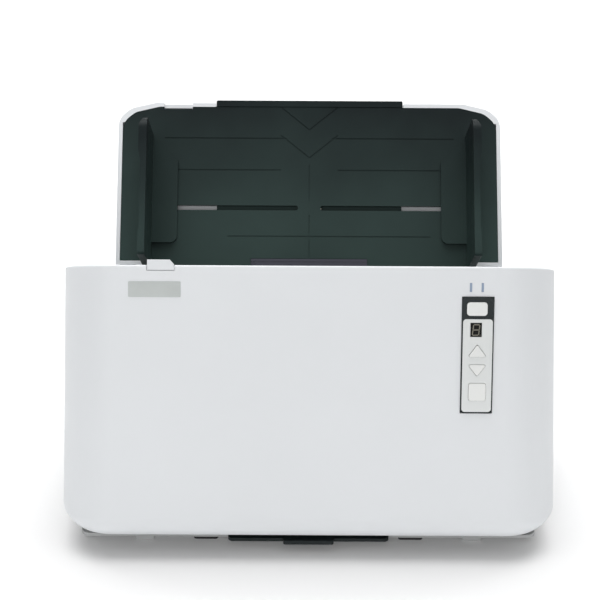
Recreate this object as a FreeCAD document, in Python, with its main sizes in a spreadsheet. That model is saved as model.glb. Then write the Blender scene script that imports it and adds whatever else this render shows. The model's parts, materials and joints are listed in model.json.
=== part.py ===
import FreeCAD, Part
import math
import os
import re
import Sketcher
from FreeCAD import Rotation, Vector

# Sheet fed document scanner: a closed casing whose front cover swings forward, an input tray that is
# also the lid, two coupled paper guides, a curved paper path with driven rollers, and a control panel.
# Millimetres and degrees. X runs to the right, Y to the back and Z up. The origin is on the floor,
# under the middle of the whole object's box.

doc = FreeCAD.newDocument("document_scanner")

SIZES = {
    # casing
    "centre_shift": 37.665, "wall": 2.5, "side_half": 159.25, "side_low": 30, "side_draft": 0.0253,
    "face_foot_y": -83, "face_foot_z": 20, "face_lean": 16.45, "rear_y": 85,
    "casing_low": 11.1, "casing_high": 192, "casing_open": 15, "bottom_round": 15, "top_round": 1.2,
    "corner_wide": 33, "corner_front": 34, "corner_side": 20, "corner_rear": 18,
    "top_edge_y": -34, "top_edge_z": 185.9, "top_slope": 27.98,
    "hopper_half": 118, "seam_high_y": 12.75, "seam_high_z": 200, "seam_low_y": -41, "seam_low_z": 30,
    "seam_gap": 0.5, "seam_radius": 25, "rear_wall_top": 119,
    # hinges
    "pivot_y": 76, "pivot_z": 128, "tray_angle": 55, "tray_pin": 2, "gutter_radius": 11,
    "hinge_y": -66, "hinge_z": 30, "cover_pin": 2, "pin_play": 0.05, "press_play": 0.02,
    # paper path
    "path_y": -100.5, "path_z": 184.2, "path_radius": 176.4, "path_gap": 0.6, "guide_half": 117.5,
    "sensor_angle": -55, "pick_angle": -37, "feed_angle": -46, "exit_angle": -65,
    "pick_radius": 9, "drive_radius": 7, "pinch_radius": 5, "nip_gap": 0.3,
    # frames and gears
    "frame_inner": 122, "frame_outer": 124.5, "shaft_radius": 3, "bush_radius": 5,
    "gear_near": 129, "gear_far": 134, "gear_module": 1,
    # tray
    "tray_half": 135, "tray_low": 2, "tray_notch": 8.5, "tray_tip": 125, "tray_deep": 10,
    "groove_half": 0.45, "groove_deep": 0.45,
    "panel_half": 132, "panel_low": 4.7, "panel_tip": 122.3, "panel_thick": 2,
    "rack_line": 49.1, "rack_pitch_radius": 7.5, "rack_top": -2.4, "rack_low": -4.9,
    "extension_half": 66, "extension_top": -5.4, "extension_low": -7.6, "extension_foot": 22,
    # paper guides
    "guide_inner": 110.1, "guide_outer": 114.2, "guide_low": 5.4, "guide_high": 101, "guide_tall": 53,
    "foot_inner": 92.3, "foot_low": 23.5, "foot_thick": 3, "guide_play": 0.25,
    # control panel, in the plane of the front face
    "panel_centre": 104.7, "bezel_half": 10, "bezel_low": 79.9, "bezel_high": 154, "bezel_proud": 0.8,
    "button_play": 0.2, "button_back": -4.6,
    # base and output tray
    "base_half": 148.5, "base_front": -60, "base_back": 75, "base_low": 3, "base_top": 5.5,
    "rim_top": 14.8, "exit_half": 52, "exit_low": 6.4, "exit_top": 8.8, "exit_front": -70,
}

sheet = doc.addObject("Spreadsheet::Sheet", "dims")
for row, (alias, size) in enumerate(SIZES.items(), start=1):
    sheet.set(f"A{row}", alias)
    sheet.set(f"B{row}", str(size))
    sheet.setAlias(f"B{row}", alias)
doc.recompute()

NODES = []


# ---------------------------------------------------------------- helpers
def value(alias):
    """A driving size, read from the sheet."""
    return float(sheet.get(alias))


def formula(text):
    """The same formula with each driving size written as a reference to the sheet."""
    return re.sub(r"[a-z][a-z_]*", lambda word: f"dims.{word[0]}" if word[0] in SIZES else word[0], str(text))


def bind(thing, prop, text):
    thing.setExpression(prop, formula(text))


# Local frames: where each starts (Y, Z) and how far it is turned about X. Local Y runs along the
# surface and local Z out of it.
FRAMES = {
    "body": ("0", "0", "0"),
    "tray": ("pivot_y", "pivot_z", "tray_angle"),
    "face": ("face_foot_y", "face_foot_z", "90 - face_lean"),
    "rear": ("rear_y", "0", "-90"),
}
for station in ("sensor", "pick", "feed", "exit"):
    angle = f"{station}_angle"
    FRAMES[station] = (
        f"path_y + path_radius * cos({angle})",
        f"path_z + path_radius * sin({angle})",
        f"{angle} + 90",
    )


def put(thing, frame, x, y, z, turn=True):
    """Place an object's own origin at x, y, z of a frame, and turn it with the frame."""
    start_y, start_z, angle = FRAMES[frame]
    if turn and frame != "body":
        thing.Placement.Rotation = Rotation(Vector(1, 0, 0), 1)
        bind(thing, "Placement.Rotation.Angle", angle)
    bind(thing, "Placement.Base.x", x)
    bind(thing, "Placement.Base.y", f"{start_y} + ({y}) * cos({angle}) - ({z}) * sin({angle}) - centre_shift")
    bind(thing, "Placement.Base.z", f"{start_z} + ({y}) * sin({angle}) + ({z}) * cos({angle})")
    return thing


def span(low_high):
    low, high = low_high
    return f"({high}) - ({low})"


def slab(name, frame, xs, ys, zs):
    """A box between two values on each axis of a frame."""
    thing = doc.addObject("Part::Box", name)
    bind(thing, "Length", span(xs))
    bind(thing, "Width", span(ys))
    bind(thing, "Height", span(zs))
    return put(thing, frame, xs[0], ys[0], zs[0])


def rod(name, frame, xs, y, z, radius):
    """A cylinder along X."""
    thing = doc.addObject("Part::Cylinder", name)
    bind(thing, "Radius", radius)
    bind(thing, "Height", span(xs))
    thing.Placement.Rotation = Rotation(Vector(0, 1, 0), 90)
    return put(thing, frame, xs[0], y, z, turn=False)


def disc(name, frame, x, y, zs, radius):
    """A cylinder along a frame's own Z."""
    thing = doc.addObject("Part::Cylinder", name)
    bind(thing, "Radius", radius)
    bind(thing, "Height", span(zs))
    return put(thing, frame, x, y, zs[0])


def origin_plane(body, role):
    return next(plane for plane in body.Origin.OriginFeatures if plane.Role == role)


def attach(body, sketch, role, offset):
    sketch.AttachmentSupport = [(origin_plane(body, role), "")]
    sketch.MapMode = "FlatFace"
    bind(sketch, "AttachmentOffset.Base.z", offset)


def hold(sketch, kind, text, guess, *where):
    """A dimension of a sketch, bound to a formula."""
    index = sketch.addConstraint(Sketcher.Constraint(kind, *where, guess))
    bind(sketch, f"Constraints[{index}]", text)


def outline(sketch, points):
    """A closed outline whose corners are all held by formulas; it starts as a circle of corners."""
    count = len(points)
    start = [Vector(50 * math.cos(2 * math.pi * i / count), 50 * math.sin(2 * math.pi * i / count), 0)
             for i in range(count)]
    for i in range(count):
        sketch.addGeometry(Part.LineSegment(start[i], start[(i + 1) % count]), False)
    for i in range(count):
        sketch.addConstraint(Sketcher.Constraint("Coincident", i, 2, (i + 1) % count, 1))
    for i, (across, along) in enumerate(points):
        hold(sketch, "DistanceX", across, start[i].x, -1, 1, i, 1)
        hold(sketch, "DistanceY", along, start[i].y, -1, 1, i, 1)


def prism(name, frame, role, points, ends):
    """A body padded from a sketch: role YZ_Plane pads along X, XY_Plane along the frame's Z."""
    body = doc.addObject("PartDesign::Body", name)
    sketch = body.newObject("Sketcher::SketchObject", f"{name}_sketch")
    attach(body, sketch, role, ends[0])
    outline(sketch, points)
    pad = body.newObject("PartDesign::Pad", f"{name}_pad")
    pad.Profile = sketch
    bind(pad, "Length", span(ends))
    return put(body, frame, 0, 0, 0)


def soften(body, radius, wanted):
    """Fillet the edges of a body that a test picks out in the body's own frame."""
    doc.recompute()
    base = body.Tip
    names = [f"Edge{i}" for i, edge in enumerate(base.Shape.Edges, start=1) if wanted(edge)]
    fillet = body.newObject("PartDesign::Fillet", f"{body.Name}_fillet")
    fillet.Base = (base, names)
    bind(fillet, "Radius", radius)
    return body


def runs_along(axis):
    """A test for straight edges along one axis."""
    def wanted(edge):
        across = edge.Vertexes[-1].Point - edge.Vertexes[0].Point
        return len(edge.Vertexes) == 2 and across.Length > 0.1 and abs(across.normalize().dot(axis)) > 0.999
    return wanted


def upright_near(*corners):
    """A test for upright edges that stand near one of the given corners."""
    along = runs_along(Vector(0, 0, 1))

    def wanted(edge):
        foot = edge.Vertexes[0].Point
        return along(edge) and any(math.hypot(foot.x - x, foot.y - y) < 1 for x, y in corners)
    return wanted


def plate(name, frame, xs, ys, zs, radius):
    """A box with its four upright edges rounded."""
    corners = [(x, y) for x, y in ((xs[0], ys[0]), (xs[1], ys[0]), (xs[1], ys[1]), (xs[0], ys[1]))]
    return soften(prism(name, frame, "XY_Plane", corners, zs), radius, runs_along(Vector(0, 0, 1)))


def join(name, *parts):
    thing = doc.addObject("Part::MultiFuse", name)
    thing.Shapes = list(parts)
    return thing


def cut(name, base, *tools):
    thing = doc.addObject("Part::Cut", name)
    thing.Base = base
    thing.Tool = tools[0] if len(tools) == 1 else join(f"{name}_tools", *tools)
    return thing


def common(name, first, second):
    thing = doc.addObject("Part::Common", name)
    thing.Base = first
    thing.Tool = second
    return thing


def group(name, *parts):
    """Several separate solids that share one node."""
    thing = doc.addObject("Part::Compound", name)
    thing.Links = list(parts)
    return thing


def node(thing, label):
    thing.Label = label
    NODES.append(thing)
    return thing


def both(sides, low, high):
    """The X range of a piece on one side, from distances to the middle plane."""
    return (low, high) if sides > 0 else (f"-({high})", f"-({low})")


SIDES = {"left": -1, "right": 1}
# Where the inner cover is screwed to the front shell: distance from the middle, and up the face.
COVER_SCREWS = ((106, 45), (85, 100))


# ---------------------------------------------------------------- casing
def plan_outline(sketch, height, inset):
    """The casing's outline at one height: flat front, two-centred front corners, round rear corners."""
    half = f"side_half - ({height} - side_low) * side_draft - {inset}"
    flat = f"side_half - ({height} - side_low) * side_draft - corner_wide"
    front = f"face_foot_y + ({height} - face_foot_z) * tan(face_lean) + {inset} / cos(face_lean)"
    rear = f"rear_y - {inset}"
    radii = [f"corner_front - {inset}", f"corner_side - {inset}", f"corner_rear - {inset}"]
    big, small, back = (value(alias) for alias in ("corner_front", "corner_side", "corner_rear"))
    # A first guess at the outline; the constraints below then set it exactly.
    wide, deep = value("side_half"), value("rear_y")
    flat_guess, front_guess = wide - value("corner_wide"), value("face_foot_y")
    turn = math.asin((wide - small - flat_guess) / (big - small))
    side_y = front_guess + big - (big - small) * math.cos(turn)

    def arc(x, y, radius, start, end):
        circle = Part.Circle(Vector(x, y, 0), Vector(0, 0, 1), radius)
        sketch.addGeometry(Part.ArcOfCircle(circle, start, end), False)

    def line(x_from, y_from, x_to, y_to):
        sketch.addGeometry(Part.LineSegment(Vector(x_from, y_from, 0), Vector(x_to, y_to, 0)), False)

    right, up, low = 0, math.pi / 2, -math.pi / 2
    line(-flat_guess, front_guess, flat_guess, front_guess)
    arc(flat_guess, front_guess + big, big, low, low + turn)
    arc(wide - small, side_y, small, low + turn, right)
    line(wide, side_y, wide, deep - back)
    arc(wide - back, deep - back, back, right, up)
    line(wide - back, deep, back - wide, deep)
    arc(back - wide, deep - back, back, up, math.pi)
    line(-wide, deep - back, -wide, side_y)
    arc(small - wide, side_y, small, math.pi, 3 * math.pi / 2 - turn)
    arc(-flat_guess, front_guess + big, big, 3 * math.pi / 2 - turn, 3 * math.pi / 2)
    for i in range(10):
        sketch.addConstraint(Sketcher.Constraint("Tangent", i, 2, (i + 1) % 10, 1))
    for kind, i in (("Horizontal", 0), ("Vertical", 3), ("Horizontal", 5), ("Vertical", 7)):
        sketch.addConstraint(Sketcher.Constraint(kind, i))
    hold(sketch, "DistanceX", f"-({flat})", -flat_guess, -1, 1, 0, 1)
    hold(sketch, "DistanceX", flat, flat_guess, -1, 1, 0, 2)
    hold(sketch, "DistanceY", front, front_guess, -1, 1, 0, 1)
    hold(sketch, "DistanceX", half, wide, -1, 1, 3, 1)
    hold(sketch, "DistanceX", f"-({half})", -wide, -1, 1, 7, 1)
    hold(sketch, "DistanceY", rear, deep, -1, 1, 5, 1)
    for i, radius in ((1, 0), (2, 1), (4, 2), (6, 2), (8, 1), (9, 0)):
        hold(sketch, "Radius", radii[radius], (big, small, back)[radius], i)


def top_line(y, drop):
    """The height of the sloping top at a depth, lowered square to the slope."""
    return f"top_edge_z - ({y} - top_edge_y) * tan(top_slope) - {drop} / cos(top_slope)"


def envelope(name, inset):
    """The casing's outer form, or its hollow when inset by the wall."""
    body = doc.addObject("PartDesign::Body", name)
    sections = []
    for end, height in (("low", f"(casing_low + {inset})"), ("high", "casing_high")):
        sketch = body.newObject("Sketcher::SketchObject", f"{name}_{end}")
        attach(body, sketch, "XY_Plane", height)
        plan_outline(sketch, height, inset)
        sections.append(sketch)
    loft = body.newObject("PartDesign::AdditiveLoft", f"{name}_loft")
    loft.Profile = sections[0]
    loft.Sections = [sections[1]]
    loft.Ruled = True
    sky = body.newObject("Sketcher::SketchObject", f"{name}_sky")
    attach(body, sky, "YZ_Plane", 0)
    ahead, behind = "0 - 2 * rear_y", "2 * rear_y"
    outline(sky, [(ahead, top_line(ahead, inset)), (behind, top_line(behind, inset)),
                  (behind, "2 * casing_high"), (ahead, "2 * casing_high")])
    slope = body.newObject("PartDesign::Pocket", f"{name}_slope")
    slope.Profile = sky
    slope.Midplane = True
    bind(slope, "Length", "4 * side_half")
    put(body, "body", 0, 0, 0)
    low = value("casing_low") + (value("wall") if inset == "wall" else 0)
    soften(body, f"bottom_round - {inset}", lambda edge: edge.BoundBox.ZMax < low + 0.01)
    if inset == "0":
        slope_angle = math.radians(value("top_slope"))
        normal = Vector(0, math.sin(slope_angle), math.cos(slope_angle))
        level = normal.dot(Vector(0, value("top_edge_y"), value("top_edge_z")))
        soften(body, "top_round",
               lambda edge: all(abs(normal.dot(v.Point) - level) < 0.01 for v in edge.Vertexes))
    return body


casing_outer = envelope("casing_outer", "0")
casing_inner = envelope("casing_inner", "wall")
casing_shell = cut("casing_shell", casing_outer, casing_inner)
WIDE = ("0 - 2 * side_half", "2 * side_half")
below_edge = slab("below_edge", "body", WIDE, ("-3 * rear_y", "3 * rear_y"), ("-20", "casing_open"))


def seam_side(name, gap, front):
    """Everything in front of the seam between cover and housing, or everything behind it."""
    far = "0 - 3 * rear_y" if front else "3 * rear_y"
    points = [(far, "-20"), (far, "casing_high + 20"), (f"seam_high_y + {gap}", "seam_high_z"),
              (f"seam_low_y + {gap}", "seam_low_z"), ("hinge_y", "seam_low_z"), ("hinge_y", "-20")]
    region = prism(f"{name}_region", "body", "YZ_Plane", points, WIDE)
    turn = rod(f"{name}_turn", "body", WIDE, "hinge_y", "hinge_z", f"seam_radius + {gap}")
    return join(name, region, turn) if front else cut(name, region, turn)


ahead_of_seam = seam_side("ahead_of_seam", "seam_gap", True)
behind_seam = seam_side("behind_seam", "0", False)


def hopper_cheeks(name, ys, zs):
    """The two upright walls beside the hopper, kept inside the casing."""
    walls = [slab(f"{name}_{side}", "body", both(sign, "hopper_half", "hopper_half + wall"), ys, zs)
             for side, sign in SIDES.items()]
    return common(name, join(f"{name}_walls", *walls), casing_outer)


def build_rear_housing():
    opening = prism("hopper_opening", "body", "YZ_Plane",
                    [("-60", "250"), ("-60", "100"), ("70", "100"), ("rear_y - 5", "rear_wall_top"),
                     ("rear_y + 5", "rear_wall_top"), ("rear_y + 5", "250")],
                    ("-hopper_half", "hopper_half"))
    notches = [rod(f"ear_notch_{side}", "body", both(sign, "120.7", "133.3"), "pivot_y", "pivot_z", 7)
               for side, sign in SIDES.items()]
    sockets = [slab("jack_hole", "rear", ("99.7", "111.3"), ("-43.3", "-31.7"), ("-6", "6")),
               slab("usb_hole", "rear", ("59.7", "72.3"), ("-43.3", "-31.7"), ("-6", "6")),
               slab("lock_hole", "rear", ("-122", "-115"), ("-39.5", "-36.5"), ("-6", "6"))]
    vents = [slab(f"vent_{i}", "rear", (f"-70 + {i} * 7", f"-67 + {i} * 7"), ("-62", "-34"), ("-6", "6"))
             for i in range(9)]
    shell = cut("rear_shell", casing_shell, ahead_of_seam, below_edge, opening, *notches, *sockets, *vents)
    ring = cut("gutter_ring", rod("gutter_out", "body", ("-hopper_half - 1", "hopper_half + 1"),
                                  "pivot_y", "pivot_z", "gutter_radius + wall"),
               rod("gutter_in", "body", ("-hopper_half - 2", "hopper_half + 2"),
                   "pivot_y", "pivot_z", "gutter_radius"))
    gutter = common("gutter", ring, prism("gutter_zone", "body", "YZ_Plane",
                                          [("70.8", "119.5"), ("66", "112.7"), ("70", "108"), ("84.5", "108"),
                                           ("84.5", "121"), ("74", "121")], WIDE))
    cheeks = cut("rear_cheeks_trimmed", hopper_cheeks("rear_cheeks", ("-25", "77"), ("84", "200")),
                 ahead_of_seam)
    extras = [gutter, cheeks]
    bores = []
    for side, sign in SIDES.items():
        for where, low, high in (("in", "hopper_half", "hopper_half + wall"), ("out", "133.5", "136")):
            extras.append(rod(f"lug_{where}_{side}", "body", both(sign, low, high), "pivot_y", "pivot_z", 5))
        bores.append(rod(f"lug_bore_{side}", "body", both(sign, "117", "137"), "pivot_y", "pivot_z",
                         "tray_pin + press_play"))
        for end, y in (("front", -20), ("back", 60)):
            extras.append(disc(f"boss_{end}_{side}", "body", 141 * sign, y, ("base_top", "30"), 4))
            extras.append(slab(f"boss_rib_{end}_{side}", "body", both(sign, "141", "157.8"),
                               (f"{y} - 1.5", f"{y} + 1.5"), ("casing_open + 9", "30")))
            bores.append(disc(f"boss_bore_{end}_{side}", "body", 141 * sign, y, ("0", "20"), "1.52"))
    node(cut("rear_housing_solid", join("rear_housing_body", shell, *extras), *bores), "rear_housing")


def build_front_shell():
    def inside_face(height):
        return f"face_foot_y + ({height} - face_foot_z) * tan(face_lean) + wall / cos(face_lean)"
    behind_lip = prism("behind_lip", "body", "YZ_Plane",
                       [(inside_face(120), "120"), ("120", "120"), ("120", "240"), (inside_face(240), "240")],
                       ("-hopper_half", "hopper_half"))
    bezel_hole = slab("bezel_hole", "face",
                      ("panel_centre - bezel_half - 0.15", "panel_centre + bezel_half + 0.15"),
                      ("bezel_low - 0.15", "bezel_high + 0.15"), ("-8", "8"))
    pipes = [slab(f"pipe_hole_{i}", "face", (f"{x} - 0.75", f"{x} + 0.75"), ("157", "162.7"), ("-8", "8"))
             for i, x in enumerate((100, 107.3))]
    notch = slab("tab_notch", "face", ("-101.6", "-84.2"), ("169.4", "200"), ("-20", "20"))
    shell = cut("cover_shell", casing_shell, behind_seam, below_edge, behind_lip, bezel_hole, notch, *pipes)
    cheeks = cut("cover_cheeks_trimmed", hopper_cheeks("cover_cheeks", ("-60", "10"), ("126", "200")),
                 behind_seam)
    extras = [cheeks]
    bores = []
    for i, x in enumerate(("-104.3", "-83.2")):
        extras.append(slab(f"tab_bracket_{i}", "face", (x, f"{x} + 1.5"), ("159", "167.5"),
                           ("-9", "-wall + 0.2")))
    bores.append(rod("tab_bracket_bore", "face", ("-106", "-80"), "163.5", "-6", "1.55"))
    for side, sign in SIDES.items():
        for i, (across, along) in enumerate(COVER_SCREWS):
            place = (f"{across * sign}", along)
            extras.append(disc(f"cover_boss_{i}_{side}", "face", *place, ("-3.1", "-1"), 3))
            bores.append(disc(f"cover_boss_bore_{i}_{side}", "face", *place, ("-4", "-1.2"), "1.42"))
    for i, along in enumerate(("88", "148")):
        extras.append(disc(f"board_post_{i}", "face", "92.4", along, ("-6.5", "-1"), 1.4))
    node(cut("front_shell_solid", join("front_shell_body", shell, *extras), *bores), "front_shell")


build_rear_housing()
build_front_shell()


# ---------------------------------------------------------------- base, feet, output tray
def build_base():
    floor = plate("base_floor", "body", ("-base_half", "base_half"), ("base_front", "base_back"),
                  ("base_low", "base_top"), 6)
    rim = slab("rim_block", "body", ("-base_half", "base_half"), ("-36", "base_back"),
               ("base_low", "rim_top"))
    rim_hollow = slab("rim_hollow", "body", ("wall - base_half", "base_half - wall"),
                      ("-60", "base_back - wall"), ("base_low - 1", "rim_top + 1"))
    corner_trim = [cut(f"rim_trim_{side}",
                       slab(f"rim_trim_block_{side}", "body", both(sign, "base_half - 6", "base_half + 1"),
                            ("base_back - 6", "base_back + 1"), ("0", "20")),
                       disc(f"rim_trim_round_{side}", "body", f"{sign} * (base_half - 6)", "base_back - 6",
                            ("-1", "21"), 6))
                   for side, sign in SIDES.items()]
    parts = [floor, cut("rim", rim, rim_hollow, *corner_trim)]
    holes = []
    for side, sign in SIDES.items():
        parts.append(slab(f"grey_foot_{side}", "body", both(sign, "101", "113"), ("-59", "-38"),
                          ("0.3", "4")))
        parts.append(slab(f"exit_rail_{side}", "body", both(sign, "exit_half + 0.5", "exit_half + 3"),
                          ("-58", "18"), ("base_top - 1", "exit_top + 0.4")))
        for end, y in (("front", -20), ("back", 60)):
            holes.append(disc(f"base_hole_{end}_{side}", "body", 141 * sign, y, ("0", "8"), "1.6"))
            holes.append(disc(f"base_sink_{end}_{side}", "body", 141 * sign, y, ("0", "4.5"), "3.4"))
    node(cut("base_solid", join("base_body", *parts), *holes), "base_plate")
    feet = [plate(f"foot_{side}_{i}", "body", both(sign, "59", "75"), ys, ("0", "base_low"), 2)
            for side, sign in SIDES.items() for i, ys in enumerate((("-58", "-47"), ("55", "66")))]
    node(group("feet", *feet), "rubber_feet")
    screws = []
    for side, sign in SIDES.items():
        for end, y in (("front", -20), ("back", 60)):
            head = disc(f"screw_head_{end}_{side}", "body", 141 * sign, y, ("3.1", "4.5"), 3)
            shank = disc(f"screw_shank_{end}_{side}", "body", 141 * sign, y, ("4", "19"), 1.5)
            recess = slab(f"screw_slot_{end}_{side}", "body", (f"{141 * sign} - 2", f"{141 * sign} + 2"),
                          (f"{y} - 0.4", f"{y} + 0.4"), ("3", "3.7"))
            screws.append(cut(f"screw_{end}_{side}", join(f"screw_body_{end}_{side}", head, shank), recess))
    node(group("base_screw_set", *screws), "base_screws")


def build_output_tray():
    sheet_plate = plate("exit_plate", "body", ("-exit_half", "exit_half"), ("exit_front", "10"),
                        ("exit_low", "exit_top"), 3)
    tab = plate("exit_tab", "body", ("-16.3", "16.3"), ("exit_front - 4", "exit_front + 8"),
                ("6.6", "9.6"), 1.5)
    ribs = [slab(f"exit_rib_{i}", "body", (f"{x} - 0.6", f"{x} + 0.6"), ("exit_front + 4", "5"),
                 ("exit_top - 1", "exit_top + 0.4")) for i, x in enumerate((-40, -27, 27, 40))]
    node(join("exit_tray_solid", sheet_plate, tab, *ribs), "output_tray")


build_base()
build_output_tray()


# ---------------------------------------------------------------- gears
def involute_gear(teeth, module, width, bore, phase):
    """A spur gear about Z. Each tooth is thinned a little so that a pair runs with backlash."""
    pitch = module * teeth / 2
    base = pitch * math.cos(math.radians(20))
    tip, root = pitch + module, pitch - 1.25 * module
    involute_angle = math.tan(math.radians(20)) - math.radians(20)
    half_tooth = math.pi / (2 * teeth) - 0.09 / pitch + involute_angle
    radii = [max(base, root) + (tip - max(base, root)) * k / 4 for k in range(5)]
    flank = []
    for radius in radii:
        press = math.acos(min(1, base / radius))
        flank.append((radius, half_tooth - (math.tan(press) - press)))
    points = []
    for tooth in range(teeth):
        middle = math.radians(phase) + 2 * math.pi * tooth / teeth
        side = [(root, flank[0][1] + 0.02)] + flank
        turned = [(r, middle - a) for r, a in side] + [(r, middle + a) for r, a in reversed(side)]
        points += [Vector(r * math.cos(a), r * math.sin(a), 0) for r, a in turned]
    face = Part.Face(Part.makePolygon(points + points[:1]))
    return face.extrude(Vector(0, 0, width)).cut(Part.makeCylinder(bore, width))


def mesh_phase(teeth, partner_teeth, partner_phase, direction):
    """The phase of a gear whose partner lies at the opposite of direction, so that their teeth mesh."""
    partner_pitch = 360 / partner_teeth
    ahead = (partner_phase - direction) % partner_pitch
    return direction + 180 - 180 / teeth - ahead * partner_teeth / teeth


def station(angle_alias, outward):
    """Y and Z of a roller's axis at an angle along the paper path, outward being away from its centre."""
    angle = math.radians(value(angle_alias))
    radius = value("path_radius") + outward
    return (value("path_y") + radius * math.cos(angle), value("path_z") + radius * math.sin(angle))


def apart(first, second):
    return math.hypot(second[0] - first[0], second[1] - first[1])


def bearing(first, second):
    return math.degrees(math.atan2(second[1] - first[1], second[0] - first[0]))


def beside(first, second, radius_a, radius_b, side):
    """The centre at given distances from two points, on one side of the line between them."""
    gap = apart(first, second)
    along = (radius_a ** 2 - radius_b ** 2 + gap ** 2) / (2 * gap)
    off = side * math.sqrt(radius_a ** 2 - along ** 2)
    unit = ((second[0] - first[0]) / gap, (second[1] - first[1]) / gap)
    return (first[0] + unit[0] * along - unit[1] * off, first[1] + unit[1] * along + unit[0] * off)


module = value("gear_module")
TEETH = {"feed": 20, "exit": 20, "pick": 20, "exit_idler": 42, "pick_idler": 12, "motor": 12}
AXES = {"feed": station("feed_angle", value("drive_radius")),
        "exit": station("exit_angle", value("drive_radius")),
        "pick": station("pick_angle", value("pick_radius"))}
big_reach = module * (TEETH["feed"] + TEETH["exit_idler"]) / 2
small_reach = module * (TEETH["feed"] + TEETH["pick_idler"]) / 2
AXES["exit_idler"] = beside(AXES["exit"], AXES["feed"], big_reach, big_reach, -1)
AXES["pick_idler"] = beside(AXES["feed"], AXES["pick"], small_reach, small_reach, 1)
motor_reach = module * (TEETH["motor"] + TEETH["exit_idler"]) / 2
MOTOR_BEARING = -8
AXES["motor"] = (AXES["exit_idler"][0] + motor_reach * math.cos(math.radians(MOTOR_BEARING)),
                 AXES["exit_idler"][1] + motor_reach * math.sin(math.radians(MOTOR_BEARING)))
PHASES = {"feed": 0}
for new, old in (("exit_idler", "feed"), ("exit", "exit_idler"), ("motor", "exit_idler"),
                 ("pick_idler", "feed"), ("pick", "pick_idler")):
    PHASES[new] = mesh_phase(TEETH[new], TEETH[old], PHASES[old], bearing(AXES[old], AXES[new]))


def gear_on_side(name, bore, extra=None):
    """A gear of the train on the left side, turned so that its own X is the object's Y."""
    width = value("gear_far") - value("gear_near")
    shape = involute_gear(TEETH[name], module, width, bore, PHASES[name])
    if extra:
        shape = shape.fuse(extra)
    thing = doc.addObject("Part::Feature", f"{name}_gear")
    thing.Shape = shape
    y, z = AXES[name]
    turn = Rotation(Vector(0, 1, 0), Vector(0, 0, 1), Vector(1, 0, 0), "ZXY")
    thing.Placement = FreeCAD.Placement(Vector(-value("gear_far"), y - value("centre_shift"), z), turn)
    return thing


# ---------------------------------------------------------------- driven rollers
TYRES = (("30", "50"), ("70", "90"))
shaft_bore = value("shaft_radius") + value("press_play")


def build_driven_rollers():
    for name, radius in (("feed", "drive_radius"), ("exit", "drive_radius"), ("pick", "pick_radius")):
        node(rod(f"{name}_shaft_solid", name, ("-gear_far - 0.5", "frame_outer + 2"), 0, f"-{radius}",
                 "shaft_radius"), f"{name}_shaft")
        spans = [both(sign, *tyre) for tyre in TYRES for sign in SIDES.values()]
        if name == "pick":
            spans = [("-16", "16")]
        tyres = [cut(f"{name}_tyre_{i}", rod(f"{name}_tyre_out_{i}", name, xs, 0, f"-{radius}", radius),
                     rod(f"{name}_tyre_in_{i}", name, (f"{xs[0]} - 1", f"{xs[1]} + 1"), 0, f"-{radius}",
                         "shaft_radius + press_play")) for i, xs in enumerate(spans)]
        node(group(f"{name}_tyre_set", *tyres), f"{name}_tyres")
        node(gear_on_side(name, shaft_bore), f"{name}_roller_gear")
    for name in ("exit_idler", "pick_idler"):
        node(gear_on_side(name, 2 + value("pin_play")), f"{name}_gear")
    shaft = Part.makeCylinder(1.5, 15, Vector(0, 0, 0))
    node(gear_on_side("motor", 1.45, shaft), "motor_pinion")


build_driven_rollers()


# ---------------------------------------------------------------- side frames, bushes, motor
FRAME_OUTLINE = [("-72", "27"), ("-58", "22.5"), ("-44", "12"), ("-38", "base_top"), ("62", "base_top"),
                 ("62", "70"), ("57", "83"), ("40", "88"), ("12", "68"), ("-20", "38"), ("-40", "31"),
                 ("-60", "35"), ("-66", "36.5"), ("-72", "34")]


def axis_rod(name, who, xs, radius):
    """A cylinder along X on the axis of one of the train's gears."""
    y, z = AXES[who]
    return rod(name, "body", xs, round(y, 4), round(z, 4), radius)


def build_frames():
    bushes = []
    for side, sign in SIDES.items():
        flat = prism(f"frame_{side}", "body", "YZ_Plane", FRAME_OUTLINE,
                     both(sign, "frame_inner", "frame_outer"))
        foot = slab(f"frame_foot_{side}", "body", both(sign, "frame_outer - 1", "frame_outer + 3"),
                    ("-10", "56"), ("base_top", "base_top + 1.5"))
        holes = [rod(f"frame_pin_{side}", "body", both(sign, "120", "128"), "hinge_y", "hinge_z",
                     "cover_pin + press_play")]
        for name in ("feed", "exit", "pick"):
            holes.append(axis_rod(f"frame_hole_{name}_{side}", name, both(sign, "120", "128"),
                                  "bush_radius + press_play"))
            outer = axis_rod(f"bush_out_{name}_{side}", name,
                             both(sign, "frame_inner - 0.5", "frame_outer + 0.8"), "bush_radius")
            inner = axis_rod(f"bush_in_{name}_{side}", name, both(sign, "120", "128"),
                             "shaft_radius + pin_play")
            bushes.append(cut(f"bush_{name}_{side}", outer, inner))
        parts = [flat, foot]
        if side == "left":
            holes.append(axis_rod("motor_shaft_hole", "motor", both(sign, "120", "128"), 3))
            parts += [axis_rod(f"stud_{name}", name, both(sign, "frame_outer - 1", "gear_far + 0.5"), 2)
                      for name in ("exit_idler", "pick_idler")]
        node(cut(f"{side}_frame_solid", join(f"{side}_frame_body", *parts), *holes), f"{side}_side_frame")
    node(group("bush_set", *bushes), "roller_bushes")
    can = axis_rod("motor_can", "motor", ("-frame_inner", "-90"), 17)
    cap = axis_rod("motor_cap", "motor", ("-90.5", "-87"), 6)
    shaft_hole = axis_rod("motor_bore", "motor", ("-125", "-112"), "1.5 + pin_play")
    node(cut("motor_solid", join("motor_body", can, cap), shaft_hole), "drive_motor")


build_frames()


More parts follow.
